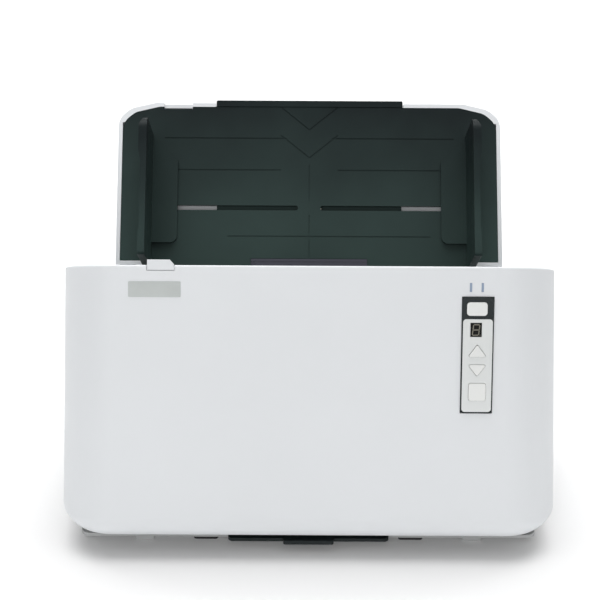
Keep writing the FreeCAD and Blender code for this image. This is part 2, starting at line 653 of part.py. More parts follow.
def build_hinge_pins():
    tray_pins = [rod(f"tray_pin_{side}", "body", both(sign, "118", "136"), "pivot_y", "pivot_z", "tray_pin")
                 for side, sign in SIDES.items()]
    node(group("tray_pin_set", *tray_pins), "tray_hinge_pins")
    cover_pins = [rod(f"cover_pin_{side}", "body", both(sign, "115.2", "frame_outer + 1"), "hinge_y",
                      "hinge_z", "cover_pin") for side, sign in SIDES.items()]
    node(group("cover_pin_set", *cover_pins), "cover_hinge_pins")


build_hinge_pins()


# ---------------------------------------------------------------- paper path
def path_rod(name, xs, radius):
    """A cylinder along X about the centre of the paper path."""
    return rod(name, "body", xs, "path_y", "path_z", radius)


def build_lower_guide():
    xs = ("-guide_half", "guide_half")
    ring = cut("guide_ring", path_rod("guide_ring_out", xs, "path_radius + path_gap + wall"),
               path_rod("guide_ring_in", WIDE, "path_radius + path_gap"))
    sector = [("path_y", "path_z")]
    for angle, reach in ((-35, 250), (-56, 320), (-76, 250)):
        sector.append((f"path_y + {reach} * cos({angle})", f"path_z + {reach} * sin({angle})"))
    curve = common("guide_curve", ring, prism("guide_sector", "body", "YZ_Plane", sector, WIDE))
    floor = slab("hopper_floor", "tray", xs, ("-56", "-14"), ("-path_gap - wall", "-path_gap"))
    pockets = [slab(f"relief_{side}", "tray", both(sign, "22", "116.8"), ("-57.5", "-42.5"), ("-1.9", "2"))
               for side, sign in SIDES.items()]
    windows = [slab("sensor_window", "sensor", ("-113", "113"), ("-8.8", "8.8"), ("-10", "5")),
               rod("pick_window", "pick", ("-17.2", "17.2"), 0, "-pick_radius", "pick_radius + 0.8")]
    for name in ("feed", "exit"):
        for i, (sign, tyre) in enumerate((s, t) for s in SIDES.values() for t in TYRES):
            low, high = both(sign, *tyre)
            windows.append(rod(f"{name}_window_{i}", name, (f"{low} - 1", f"{high} + 1"), 0, "-drive_radius",
                               "drive_radius + 0.8"))
    body = join("lower_guide_body", curve, floor)
    node(cut("lower_guide_solid", body, *pockets, *windows), "lower_paper_guide")


def build_sensors():
    """A contact image sensor on each side of the paper: rear below the path, front above it."""
    for name, sign in (("rear", -1), ("front", 1)):
        def depth(near, far):
            return (f"-({far})", f"-({near})") if sign < 0 else (near, far)
        housing = slab(f"{name}_sensor_block", "sensor", ("-112", "112"), ("-7.5", "7.5"),
                       depth("path_gap + 1.1", "path_gap + 12"))
        channel = slab(f"{name}_sensor_channel", "sensor", ("-109", "109"), ("-4", "4"),
                       depth("path_gap", "path_gap + 6"))
        node(cut(f"{name}_sensor_solid", housing, channel), f"{name}_image_sensor")
        pane = slab(f"{name}_glass_solid", "sensor", ("-112", "112"), ("-8", "8"),
                    depth("path_gap", "path_gap + 1.1"))
        node(pane, f"{name}_sensor_glass")


INNER_TOP = ("(36.5)", "(87.2)")


def build_inner_cover():
    """The cover's inner moulding: the hopper's front slope, the upper paper guide and its end plates."""
    def face_line(height, back):
        return f"face_foot_y + ({height} - face_foot_z) * tan(face_lean) + {back}"
    region = [INNER_TOP, (face_line(130.6, 3.7), "130.6"), (face_line(30, 3.7), "30"), ("-71.5", "20"),
              ("-57", "12"), ("34.6", "71")]
    outer = common("inner_cover_block",
                   prism("inner_cover_region", "body", "YZ_Plane",
                         region[:5] + [("0", "-40"), ("50", "20"), region[5]], ("-116.5", "116.5")),
                   path_rod("inner_cover_reach", WIDE, "path_radius - path_gap"))
    hollow_region = [("33.6", "85.6"), (face_line(128.0, -10), "131.5"), (face_line(30, -12), "30"),
                     ("-85", "20"), ("-68", "21"), ("-57", "0"), ("50", "20"), ("31.6", "71")]
    hollow = common("inner_cover_hollow",
                    prism("inner_hollow_region", "body", "YZ_Plane", hollow_region, ("-114", "114")),
                    path_rod("inner_hollow_reach", WIDE, "path_radius - path_gap - wall"))
    webs = []
    for side, sign in SIDES.items():
        webs.append(common(f"web_{side}",
                           prism(f"web_region_{side}", "body", "YZ_Plane",
                                 [INNER_TOP, ("-10", "108"), ("-10", "60"), ("0", "20"), ("34.6", "71")],
                                 both(sign, "18", "21.5")),
                           path_rod(f"web_reach_{side}", WIDE, "path_radius - path_gap - 0.1")))
    bosses = [rod(f"cover_ear_{side}", "body", both(sign, "113", "121.6"), "hinge_y", "hinge_z", 5)
              for side, sign in SIDES.items()]
    flanges = []
    screw_holes = []
    for side, sign in SIDES.items():
        for height, across, along in (("low", ("100", "114.5"), ("40", "50")),
                                      ("high", ("79", "91"), ("95", "117"))):
            flanges.append(slab(f"flange_{height}_{side}", "face", both(sign, *across), along,
                                ("-5.6", "-3.1")))
        screw_holes += [disc(f"flange_hole_{i}_{side}", "face", across * sign, along, ("-8", "0"), 1.5)
                        for i, (across, along) in enumerate(COVER_SCREWS)]
    lining = [slab("lining", "face", ("1 - hopper_half", "hopper_half - 1"), ("114", "170.5"),
                   ("-10.2", "-8.7")),
              slab("lining_rim", "face", ("-80", "hopper_half - 1"), ("169", "170.5"), ("-9", "-3")),
              slab("lining_rim_end", "face", ("1 - hopper_half", "-106"), ("169", "170.5"), ("-9", "-3"))]
    board_room = slab("board_room", "face", ("90", "123"), ("78", "168"), ("-8.6", "2"))
    tab_room = slab("tab_room", "face", ("-105.5", "-80.5"), ("157", "175"), ("-12", "2"))
    windows = [slab("front_sensor_window", "sensor", ("-113", "113"), ("-8.8", "8.8"), ("-2", "14.5")),
               rod("brake_window", "pick", ("-17.6", "17.6"), 0, "8 + nip_gap", "8.8"),
               rod("brake_bore", "pick", ("-20.6", "20.6"), 0, "8 + nip_gap", "2 + pin_play")]
    for name in ("feed", "exit"):
        windows.append(rod(f"{name}_pinch_bore", name, ("-115.3", "115.3"), 0, "pinch_radius + nip_gap",
                           "2 + pin_play"))
        for i, (sign, tyre) in enumerate((s, t) for s in SIDES.values() for t in TYRES):
            low, high = both(sign, *tyre)
            windows.append(rod(f"{name}_pinch_window_{i}", name, (f"{low} - 1", f"{high} + 1"), 0,
                               "pinch_radius + nip_gap", "pinch_radius + 0.8"))
    pin_bores = [rod(f"ear_bore_{side}", "body", both(sign, "114.9", "123"), "hinge_y", "hinge_z",
                     "cover_pin + pin_play") for side, sign in SIDES.items()]
    body = join("inner_cover_body", cut("inner_cover_open", outer, hollow), *webs, *bosses, *flanges, *lining)
    tools = [board_room, tab_room, *windows, *pin_bores, *screw_holes]
    node(cut("inner_cover_solid", body, *tools), "inner_cover")
    screws = []
    for side, sign in SIDES.items():
        for i, (across, along) in enumerate(COVER_SCREWS):
            place = (f"{across * sign}", along)
            head = disc(f"cover_screw_head_{i}_{side}", "face", *place, ("-7.4", "-5.6"), 2.8)
            shank = disc(f"cover_screw_shank_{i}_{side}", "face", *place, ("-6", "-1.4"), 1.4)
            screws.append(join(f"cover_screw_{i}_{side}", head, shank))
    node(group("cover_screw_set", *screws), "cover_screws")


def build_pinch_rollers():
    for name in ("feed", "exit"):
        height = "pinch_radius + nip_gap"
        parts = [rod(f"{name}_pinch_shaft", name, ("-115.2", "115.2"), 0, height, 2)]
        for i, (sign, tyre) in enumerate((s, t) for s in SIDES.values() for t in TYRES):
            parts.append(rod(f"{name}_pinch_tyre_{i}", name, both(sign, *tyre), 0, height, "pinch_radius"))
        node(join(f"{name}_pinch_solid", *parts), f"{name}_pinch_roller")
    node(join("brake_solid", rod("brake_tyre", "pick", ("-15", "15"), 0, "8 + nip_gap", 8),
              rod("brake_shaft", "pick", ("-20.5", "20.5"), 0, "8 + nip_gap", 2)), "brake_roller")


build_lower_guide()
build_sensors()
build_inner_cover()
build_pinch_rollers()


# ---------------------------------------------------------------- electronics
def build_electronics():
    board = slab("board_blank", "rear", ("-64", "118"), ("-66", "-12"), ("-15", "-13.4"))
    chips = [slab(f"chip_{i}", "rear", (f"{x}", f"{x + wide}"), (f"{y}", f"{y + wide}"), ("-16.6", "-14.9"))
             for i, (x, y, wide) in enumerate(((-20, -50, 16), (10, -44, 10), (-50, -34, 8)))]
    node(join("board_solid", board, *chips), "main_board")
    jack = slab("jack_block", "rear", ("100", "111"), ("-43", "-32"), ("-13.4", "0"))
    jack_bore = disc("jack_bore", "rear", "105.5", "-37.5", ("-9", "1"), 3.1)
    jack_pin = disc("jack_pin", "rear", "105.5", "-37.5", ("-10", "-1"), 1)
    node(join("jack_solid", cut("jack_open", jack, jack_bore), jack_pin), "power_jack")
    usb = slab("usb_block", "rear", ("60", "72"), ("-43", "-32"), ("-13.4", "0"))
    usb_bore = slab("usb_bore", "rear", ("61.8", "70.2"), ("-41.4", "-33.6"), ("-10", "1"))
    usb_tongue = slab("usb_tongue", "rear", ("63.2", "68.8"), ("-39.1", "-35.9"), ("-11", "-1"))
    node(join("usb_solid", cut("usb_open", usb, usb_bore), usb_tongue), "usb_socket")


build_electronics()


# ---------------------------------------------------------------- control panel
BUTTONS = {
    "power_button": [("97.7", "142.3"), ("110.4", "142.3"), ("110.4", "150.7"), ("97.7", "150.7")],
    "up_button": [("98.9", "116.2"), ("110.3", "116.2"), ("104.6", "123.9")],
    "down_button": [("99", "111.1"), ("104.7", "103.9"), ("110.4", "111.1")],
    "scan_button": [("99.6", "88.2"), ("110.4", "88.2"), ("110.4", "99.3"), ("99.6", "99.3")],
}
ROUNDS = {"power_button": 2, "up_button": 0.7, "down_button": 0.7, "scan_button": 1.5}


def key_prism(name, corners, ends, radius):
    return soften(prism(name, "face", "XY_Plane", corners, ends), radius, runs_along(Vector(0, 0, 1)))


def grown(corners, play):
    """An outline moved out from its own middle by about a running gap."""
    middle_x = sum(float(x) for x, y in corners) / len(corners)
    middle_y = sum(float(y) for x, y in corners) / len(corners)
    moved = []
    for x, y in corners:
        reach_x, reach_y = float(x) - middle_x, float(y) - middle_y
        factor = 1 + play * (1.5 if len(corners) == 4 else 2.4) / math.hypot(reach_x, reach_y)
        moved.append((round(middle_x + reach_x * factor, 3), round(middle_y + reach_y * factor, 3)))
    return moved


def build_control_panel():
    bezel = plate("bezel_plate", "face", ("panel_centre - bezel_half", "panel_centre + bezel_half"),
                  ("bezel_low", "bezel_high"), ("-wall", "bezel_proud"), 2.4)
    skin = plate("skin_plate", "face", ("panel_centre - 9.25", "panel_centre + 9.25"), ("81", "140"),
                 ("bezel_proud", "bezel_proud + 0.4"), 2)
    bezel_holes = [slab("window_hole", "face", ("100", "107.2"), ("128.8", "137.8"), ("-8", "5"))]
    skin_holes = [slab("window_hole_skin", "face", ("100", "107.2"), ("128.8", "137.8"), ("-8", "5"))]
    for name, corners in BUTTONS.items():
        wider = grown(corners, value("button_play"))
        bezel_holes.append(key_prism(f"{name}_hole", wider, ("-8", "5"), ROUNDS[name] + value("button_play")))
        if name != "power_button":
            skin_holes.append(key_prism(f"{name}_skin_hole", wider, ("-8", "5"),
                                        ROUNDS[name] + value("button_play")))
        cap = key_prism(f"{name}_cap", corners, ("button_back", "bezel_proud + 0.9"), ROUNDS[name])
        flange = key_prism(f"{name}_flange", grown(corners, 0.6), ("button_back", "-wall - 0.3"),
                           ROUNDS[name])
        node(join(f"{name}_solid", cap, flange), name)
    node(cut("bezel_solid", bezel, *bezel_holes), "control_bezel")
    node(cut("skin_solid", skin, *skin_holes), "panel_face")
    window = slab("window_glass", "face", ("100.1", "107.1"), ("128.9", "137.7"),
                  ("0.2", "bezel_proud + 0.5"))
    node(window, "display_window")
    display = slab("display_block", "face", ("99", "108"), ("127.5", "139"), ("-6.5", "-3"))
    node(display, "digit_display")
    pipes = [slab(f"light_pipe_{i}", "face", (f"{x} - 0.7", f"{x} + 0.7"), ("157.1", "162.6"),
                  ("-6.5", "0.15")) for i, x in enumerate((100, 107.3))]
    node(group("light_pipe_set", *pipes), "light_pipes")
    board = slab("panel_board_blank", "face", ("90.8", "117.4"), ("84", "165"), ("-8.1", "-6.5"))
    node(board, "panel_board")
    switches = []
    for name, corners in BUTTONS.items():
        x = sum(float(corner[0]) for corner in corners) / len(corners)
        y = sum(float(corner[1]) for corner in corners) / len(corners)
        switches.append(slab(f"{name}_switch", "face", (f"{x} - 2", f"{x} + 2"), (f"{y} - 2", f"{y} + 2"),
                             ("-6.5", "-5.9")))
    node(group("switch_set", *switches), "button_switches")
    label = plate("label_solid", "face", ("-113.1", "-80.5"), ("152.8", "162.6"), ("0", "0.4"), 0.6)
    node(label, "label_plate")


build_control_panel()


def build_release_tab():
    """A rocking tab in the notch of the top edge; its pivot stubs turn in the cover's two brackets."""
    corners = [("-101.2", "169.8"), ("-84.6", "169.8"), ("-84.6", "173"), ("-87.2", "176"), ("-101.2", "176")]
    tab = prism("tab_plate", "face", "XY_Plane", corners, ("-2.4", "0"))
    web = slab("tab_web", "face", ("-101.2", "-84.6"), ("162", "171.8"), ("-5", "-3"))
    bridge = slab("tab_bridge", "face", ("-101.2", "-84.6"), ("169.8", "171.8"), ("-4", "-2"))
    boss = rod("tab_boss", "face", ("-102.3", "-83.6"), "163.5", "-6", 2.4)
    stubs = rod("tab_stubs", "face", ("-104.2", "-81.8"), "163.5", "-6", 1.5)
    node(join("tab_solid", tab, web, bridge, boss, stubs), "release_tab")


build_release_tab()


# ---------------------------------------------------------------- input tray and paper guides
def tray_outline(half, low, tip, inset):
    """The tray's outline with its two eased tip corners; the ends near the hinge are notched."""
    right = [(f"hopper_half - 2 - {inset}", low), (f"hopper_half - 2 - {inset}", f"tray_notch + {inset}"),
             (half, f"tray_notch + {inset}"), (half, f"{tip} - 11.5"), (f"{half} - 8.5", f"{tip} - 4.2"),
             (f"{half} - 26", tip)]
    left = [(f"-({x})", y) for x, y in reversed(right)]
    return right + left


def tab_relief(name):
    """Room in the closed lid's tip for the release tab."""
    return slab(name, "tray", ("-103", "-82.8"), ("120.5", "tray_tip + 1"), ("-4", "1"))


def tray_plate(name, half, low, tip, inset, zs):
    body = prism(name, "tray", "XY_Plane", tray_outline(half, low, tip, inset), zs)
    wide, far = value("tray_half") if half == "tray_half" else value("panel_half"), value(tip)
    corners = [(sign * (wide - back), far - down) for sign in (-1, 1)
               for back, down in ((0, 11.5), (8.5, 4.2), (26, 0))]
    return soften(body, 12, upright_near(*corners))


def build_tray():
    outer = tray_plate("tray_outer", "tray_half", "tray_low", "tray_tip", "0", ("-tray_deep", "0"))
    hollow = tray_plate("tray_hollow", "panel_half", "panel_low - 0.2", "panel_tip", "2.5",
                        ("2 - tray_deep", "1"))
    hollow_body = join("tray_hollow_body", hollow,
                       slab("tray_hollow_grow", "tray", ("-(panel_half + 0.2)", "panel_half + 0.2"),
                            ("tray_notch + 2.4", "panel_tip - 11.5"), ("2 - tray_deep", "1")))
    exit_slot = slab("extension_mouth", "tray", ("-extension_half - 0.4", "extension_half + 0.4"),
                     ("panel_tip - 6", "tray_tip + 5"), ("2 - tray_deep", "2"))
    parts = [cut("tray_open", outer, hollow_body, exit_slot, tab_relief("shell_tab_relief"))]
    bores = []
    for side, sign in SIDES.items():
        parts.append(rod(f"tray_ear_{side}", "tray", both(sign, "122", "132"), 0, 0, 5.5))
        parts.append(slab(f"tray_arm_{side}", "tray", both(sign, "122", "132"), ("0", "tray_notch + 1"),
                          ("-6", "-0.6")))
        bores.append(rod(f"tray_bore_{side}", "tray", both(sign, "121", "133"), 0, 0, "tray_pin + pin_play"))
        for i, (x, y) in enumerate(((122, 20), (122, 103), (85, 12), (85, 112))):
            parts.append(disc(f"tray_post_{i}_{side}", "tray", x * sign, y,
                              ("1 - tray_deep", "-panel_thick"), 3))
    parts.append(disc("pinion_post", "tray", 0, "rack_line", ("1 - tray_deep", "-panel_thick - 0.2"), 2.5))
    node(cut("tray_shell_solid", join("tray_shell_body", *parts), *bores), "tray_shell")


def groove(name, x, y, length, angle):
    """A shallow groove in the tray's panel, from a point and along a direction."""
    corners = [(f"{x} + {along} * cos({angle}) - {side} * groove_half * sin({angle})",
                f"{y} + {along} * sin({angle}) + {side} * groove_half * cos({angle})")
               for along, side in ((0, 1), (0, -1), (length, -1), (length, 1))]
    return prism(name, "tray", "XY_Plane", corners, ("-groove_deep", "1"))


def build_tray_panel():
    blank = tray_plate("panel_blank", "panel_half", "panel_low", "panel_tip", "2.6", ("-panel_thick", "0"))
    cuts = [tab_relief("panel_tab_relief"),
            slab("strip_seat", "tray", ("-40.8", "40.8"), ("panel_low - 1", "13"), ("-0.6", "1"))]
    for side, sign in SIDES.items():
        slot = slab(f"guide_slot_{side}", "tray", both(sign, "9.5", "107.5"), ("47.4", "50.8"), ("-5", "5"))
        end = disc(f"guide_slot_end_{side}", "tray", 9.5 * sign, "49.1", ("-5", "5"), "1.7")
        cuts += [slot, end]
        steep = math.degrees(math.atan2(16.6, 20.3))
        direction = 90 - sign * (90 - steep)
        cuts.append(groove(f"vee_{side}", 0, 105.7, 25.8, direction))
        cuts.append(groove(f"vee_low_{side}", 0, 85.3, 25.8, direction))
        cuts.append(groove(f"line_high_{side}", 16 * sign, 99.4, 86, 0 if sign > 0 else 180))
        cuts.append(groove(f"line_mid_{side}", 20 * sign, 76.4, 80, 0 if sign > 0 else 180))
    cuts.append(groove("line_low", -57, 28.7, 142, 0))
    cuts.append(groove("line_middle", 0, 13, 31, 90))
    cuts.append(groove("line_middle_high", 0, 54, 26, 90))
    node(cut("tray_panel_solid", blank, *cuts), "tray_panel")
    strip = slab("strip_base", "tray", ("-40.5", "40.5"), ("panel_low", "12.7"), ("-0.6", "-0.2"))
    bar = slab("strip_bar", "tray", ("-40.5", "40.5"), ("10.9", "12.7"), ("-0.4", "0"))
    node(join("strip_solid", strip, bar), "feed_strip")


def build_extension():
    flat = slab("extension_flat", "tray", ("-extension_half + 1", "extension_half - 1"),
                ("extension_foot", "panel_tip + 1"), ("extension_low", "extension_top"))
    lip = plate("extension_lip", "tray", ("-extension_half", "extension_half"),
                ("panel_tip + 0.3", "tray_tip + 2"), ("extension_low", "0.3"), 1)
    slot = slab("extension_slot", "tray", ("-3.2", "3.2"), ("extension_foot - 1", "rack_line + 3.4"),
                ("-9", "-4"))
    node(cut("extension_solid", join("extension_body", flat, lip), slot), "tray_extension")


def rack_teeth(start, count, pitch_line, side, low, high):
    """Straight teeth below or above a pitch line, running along X from a tooth centre at start."""
    pitch = math.pi * module
    points = []
    slope = math.tan(math.radians(20))
    for i in range(count):
        middle = start + i * pitch
        for reach, sign in ((-1.25, -1), (0.95, -1), (0.95, 1), (-1.25, 1)):
            half = pitch / 4 - 0.09 - reach * slope
            points.append(Vector(middle + sign * half, pitch_line - side * reach, low))
    back = pitch_line + side * 5
    points += [Vector(points[-1].x, back, low), Vector(points[0].x, back, low)]
    return Part.Face(Part.makePolygon(points + points[:1])).extrude(Vector(0, 0, high - low))


def on_tray(name, shape, x, y, z):
    """A toothed piece drawn in the tray's plane, placed in the tray's frame."""
    thing = doc.addObject("Part::Feature", name)
    thing.Shape = shape
    turn = Rotation(Vector(1, 0, 0), value("tray_angle"))
    pivot = Vector(0, value("pivot_y") - value("centre_shift"), value("pivot_z"))
    thing.Placement = FreeCAD.Placement(pivot + turn.multVec(Vector(x, y, z)), turn)
    return thing


def build_guide_wall(side, sign):
    """The guide's tall wall, a little thicker at its two ends than in the middle."""
    thickness = (("guide_low", "0.8"), ("18", "0.7"), ("25", "0"), ("70", "0"), ("77", "1.4"), ("95", "1.4"),
                 ("guide_high", "-1.5"))
    points = [(f"{sign} * guide_inner", "guide_low")]
    points += [(f"{sign} * (guide_outer + ({extra}))", along) for along, extra in thickness]
    points.append((f"{sign} * guide_inner", "guide_high"))
    wall = prism(f"{side}_guide_wall", "tray", "XY_Plane", points, ("guide_play", "guide_tall"))
    for end, radius in (("guide_high", 9), ("guide_low", 2)):
        far, tall = value(end), value("guide_tall")
        soften(wall, radius, lambda edge: all(abs(v.Point.y - far) < 0.01 and abs(v.Point.z - tall) < 0.01
                                              for v in edge.Vertexes))
    return wall


def build_paper_guides():
    pitch = math.pi * module
    # A gap of the pinion faces a quarter of a pitch to the right of its axis, above and below.
    first_gap = pitch / 4
    inward, outward = 2, 32
    levels = (value("rack_low"), value("rack_top"))
    for side, sign in SIDES.items():
        wall = build_guide_wall(side, sign)
        foot = prism(f"{side}_guide_foot", "tray", "XY_Plane",
                     [(f"{sign} * foot_inner", "foot_low"), (f"{sign} * (guide_inner + 1)", "foot_low"),
                      (f"{sign} * (guide_inner + 1)", "98"), (f"{sign} * 108.8", "98"),
                      (f"{sign} * (foot_inner + 0.2)", "82.3")], ("guide_play", "foot_thick"))
        soften(foot, 5, upright_near((sign * value("foot_inner"), value("foot_low"))))
        post = slab(f"{side}_guide_post", "tray", both(sign, "96", "106"), ("47.8", "50.4"),
                    ("rack_low", "1"))
        arm_ys = ("48", "61.6") if sign < 0 else ("36.6", "50.2")
        arm = slab(f"{side}_guide_arm", "tray", both(sign, "97.2", "106"), arm_ys, ("rack_low", "rack_top"))
        start = first_gap - (outward if sign < 0 else inward) * pitch
        line = value("rack_line") - sign * value("rack_pitch_radius")
        rack = on_tray(f"{side}_rack", rack_teeth(start, inward + outward + 1, line, -sign, *levels), 0, 0, 0)
        node(join(f"{side}_guide_solid", wall, foot, post, arm, rack), f"{side}_paper_guide")
    pinion = involute_gear(15, module, levels[1] - levels[0], 2.5 + value("pin_play"), 0)
    node(on_tray("guide_pinion_gear", pinion, 0, value("rack_line"), levels[0]), "guide_pinion")


build_tray()
build_tray_panel()
build_extension()
build_paper_guides()


# ---------------------------------------------------------------- checks and files
doc.recompute()
for thing in doc.Objects:
    if "Invalid" in thing.State or "Error" in thing.State:
        raise RuntimeError(f"{thing.Label}: {thing.State}")
for thing in NODES:
    if thing.Shape.isNull() or not thing.Shape.isValid():
        raise RuntimeError(f"{thing.Label} has no valid shape")
    if not thing.Shape.Solids:
        raise RuntimeError(f"{thing.Label} has no solid")

os.makedirs("parts", exist_ok=True)
for thing in NODES:
    thing.Shape.exportStep(f"parts/{thing.Label}.step")
    print(f"{thing.Label}: {len(thing.Shape.Solids)} solid(s), {thing.Shape.Volume / 1000:.2f} cm3")
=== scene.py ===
import json
import math

import bmesh
import bpy
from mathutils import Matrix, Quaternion, Vector


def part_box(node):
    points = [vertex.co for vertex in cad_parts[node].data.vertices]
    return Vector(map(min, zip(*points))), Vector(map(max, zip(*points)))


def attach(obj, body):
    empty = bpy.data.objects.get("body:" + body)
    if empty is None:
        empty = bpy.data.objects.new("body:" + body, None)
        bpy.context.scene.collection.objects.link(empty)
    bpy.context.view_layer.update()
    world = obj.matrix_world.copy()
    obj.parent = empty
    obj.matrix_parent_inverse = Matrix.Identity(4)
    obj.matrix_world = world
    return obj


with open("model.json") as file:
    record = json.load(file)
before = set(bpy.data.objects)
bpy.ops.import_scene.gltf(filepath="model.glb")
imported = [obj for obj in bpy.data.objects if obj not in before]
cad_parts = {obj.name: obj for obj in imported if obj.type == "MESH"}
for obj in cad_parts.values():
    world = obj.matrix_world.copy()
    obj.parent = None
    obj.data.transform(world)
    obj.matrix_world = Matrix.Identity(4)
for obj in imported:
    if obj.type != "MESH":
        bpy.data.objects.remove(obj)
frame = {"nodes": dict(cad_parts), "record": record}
NODES = frame["nodes"]
JOINTS = {joint["name"]: joint for joint in frame["record"]["behaviour"]["joints"]}
TRAY_PIVOT = JOINTS["input_tray_hinge"]["pos_m"]
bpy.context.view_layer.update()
MM = 0.001


# ---------------------------------------------------------------- materials
# Noise scales are in features per metre, bump depths and heights in metres.
FULL_FACTOR = (0.0, 1.0)
PLAIN_SHINE = 0.5
PATCH_SCALE, PATCH_SWING = 60, 0.05
RIPPLE_SCALE, RIPPLE_DEPTH, RIPPLE_STRENGTH = 25, 0.00004, 0.5
METAL_CLOUD_SCALE, METAL_DARK, METAL_LIGHT = 20, 0.93, 1.05
LINE_SCALE, LINE_DEPTH, LINE_STRENGTH = 2500, 0.000006, 0.6
LINE_SMOOTHER, LINE_ROUGHER = 0.08, 0.1
# Heights of the tray charcoal's painted bounce light: full strength below the first, none above
# the second.
BOUNCE_PAINT_FULL_BELOW_Z, BOUNCE_PAINT_GONE_ABOVE_Z = 0.13, 0.235
BLOTCH_SCALE, BLOTCH_SWING = 14, 0.12
HAZE_SCALE, HAZE_GLOSS = 120, (0.03, 0.1)
GLASS_RIPPLE_SCALE, GLASS_RIPPLE_DEPTH, GLASS_RIPPLE_STRENGTH = 30, 0.000005, 0.3
TRACK_SCALE, TRACK_GAP, TRACK_DEPTH = 260, 0.03, 0.00003
LACQUER_SCALE, LACQUER_GLOSS = 90, (0.25, 0.4)


class Recipe:
    """A material's node tree, built up in small steps."""

    def __init__(self, name):
        self.material = bpy.data.materials.new(name)
        self.material.use_nodes = True
        self.tree = self.material.node_tree
        self.shader = self.tree.nodes["Principled BSDF"]
        self.place = self.tree.nodes.new("ShaderNodeTexCoord").outputs["Object"]

    def constant(self, socket, amount):
        """A steady value on one of the shader's own inputs."""
        self.shader.inputs[socket].default_value = amount

    def drive(self, socket, out):
        """One of the shader's own inputs, fed by another node."""
        self.join(out, self.shader.inputs[socket])

    def add(self, kind, **settings):
        made = self.tree.nodes.new(kind)
        for key, setting in settings.items():
            setattr(made, key, setting)
        return made

    def join(self, out, into):
        self.tree.links.new(out, into)

    def noise(self, scale, detail=2.0, roughness=0.5, stretch=None):
        """Noise over the object, which a stretch can draw out along an axis."""
        place = self.place
        if stretch is not None:
            mapping = self.add("ShaderNodeMapping")
            mapping.inputs["Scale"].default_value = stretch
            self.join(place, mapping.inputs["Vector"])
            place = mapping.outputs["Vector"]
        made = self.add("ShaderNodeTexNoise")
        made.inputs["Scale"].default_value = scale
        made.inputs["Detail"].default_value = detail
        made.inputs["Roughness"].default_value = roughness
        self.join(place, made.inputs["Vector"])
        return made.outputs["Fac"]

    def ranged(self, source, low, high, source_low=0.3, source_high=0.7):
        """A factor mapped to a range of numbers."""
        made = self.add("ShaderNodeMapRange")
        made.inputs["From Min"].default_value = source_low
        made.inputs["From Max"].default_value = source_high
        made.inputs["To Min"].default_value = low
        made.inputs["To Max"].default_value = high
        self.join(source, made.inputs["Value"])
        return made.outputs["Result"]

    def mixed(self, factor, first, second):
        """A colour between two colours."""
        made = self.add("ShaderNodeMix", data_type="RGBA")
        made.inputs["A"].default_value = (*first, 1)
        made.inputs["B"].default_value = (*second, 1)
        self.join(factor, made.inputs["Factor"])
        return made.outputs["Result"]

    def bump(self, source, distance, strength=1.0, after=None):
        """A surface normal from a height, on top of another normal if one is given."""
        made = self.add("ShaderNodeBump")
        made.inputs["Distance"].default_value = distance
        made.inputs["Strength"].default_value = strength
        self.join(source, made.inputs["Height"])
        if after is not None:
            self.join(after, made.inputs["Normal"])
        return made.outputs["Normal"]


def shade(colour, factor):
    return tuple(min(1.0, channel * factor) for channel in colour)


def grained(name, gloss, grain, grain_depth, shine):
    """The surface of moulded plastic, without its colour: spark-eroded grain and patchy gloss."""
    recipe = Recipe(name)
    patch = recipe.noise(PATCH_SCALE, detail=4)
    recipe.drive("Roughness", recipe.ranged(patch, gloss - PATCH_SWING, gloss + PATCH_SWING))
    ripple = recipe.bump(recipe.noise(RIPPLE_SCALE, detail=1), RIPPLE_DEPTH, RIPPLE_STRENGTH)
    fine = recipe.noise(grain, detail=2, roughness=0.6)
    recipe.drive("Normal", recipe.bump(fine, grain_depth, 1.0, ripple))
    recipe.constant("Specular IOR Level", shine)
    return recipe


def moulded(name, colour, gloss=0.45, grain=1600, grain_depth=0.000012, spread=0.03, cloud=9,
            shine=PLAIN_SHINE):
    """Moulded plastic or rubber, its colour broadly uneven by the spread."""
    recipe = grained(name, gloss, grain, grain_depth, shine)
    tone = recipe.ranged(recipe.noise(cloud, detail=3), *FULL_FACTOR)
    recipe.drive("Base Color",
                 recipe.mixed(tone, shade(colour, 1 - spread), shade(colour, 1 + spread)))
    return recipe


def charcoal(name, high, low, gloss, shine):
    """Dark moulded plastic, a little paler towards its foot, where painted bounce light from the
    white casing is laid into its colour.
    """
    recipe = grained(name, gloss, grain=1500, grain_depth=0.00002, shine=shine)
    parts = recipe.add("ShaderNodeSeparateXYZ")
    recipe.join(recipe.place, parts.inputs["Vector"])
    # Painted bounce light: the colour turns paler low down, standing in for light bounced up from
    # the white casing.
    painted_bounce = recipe.ranged(parts.outputs["Z"], 1.0, 0.0, BOUNCE_PAINT_FULL_BELOW_Z, BOUNCE_PAINT_GONE_ABOVE_Z)
    blotch = recipe.ranged(recipe.noise(BLOTCH_SCALE, detail=3), -BLOTCH_SWING, BLOTCH_SWING)
    bounce_and_blotch = recipe.add("ShaderNodeMath", operation="ADD", use_clamp=True)
    recipe.join(painted_bounce, bounce_and_blotch.inputs[0])
    recipe.join(blotch, bounce_and_blotch.inputs[1])
    recipe.drive("Base Color", recipe.mixed(bounce_and_blotch.outputs["Value"], high, low))
    return recipe


def brushed(name, colour, gloss, along=(0.02, 1, 1)):
    """Metal with fine lines along one axis."""
    recipe = Recipe(name)
    lines = recipe.noise(LINE_SCALE, detail=3, stretch=along)
    tone = recipe.ranged(recipe.noise(METAL_CLOUD_SCALE, detail=2), *FULL_FACTOR)
    recipe.drive("Base Color",
                 recipe.mixed(tone, shade(colour, METAL_DARK), shade(colour, METAL_LIGHT)))
    recipe.drive("Roughness", recipe.ranged(lines, gloss - LINE_SMOOTHER, gloss + LINE_ROUGHER))
    recipe.drive("Normal", recipe.bump(lines, LINE_DEPTH, LINE_STRENGTH))
    recipe.constant("Metallic", 1.0)
    return recipe


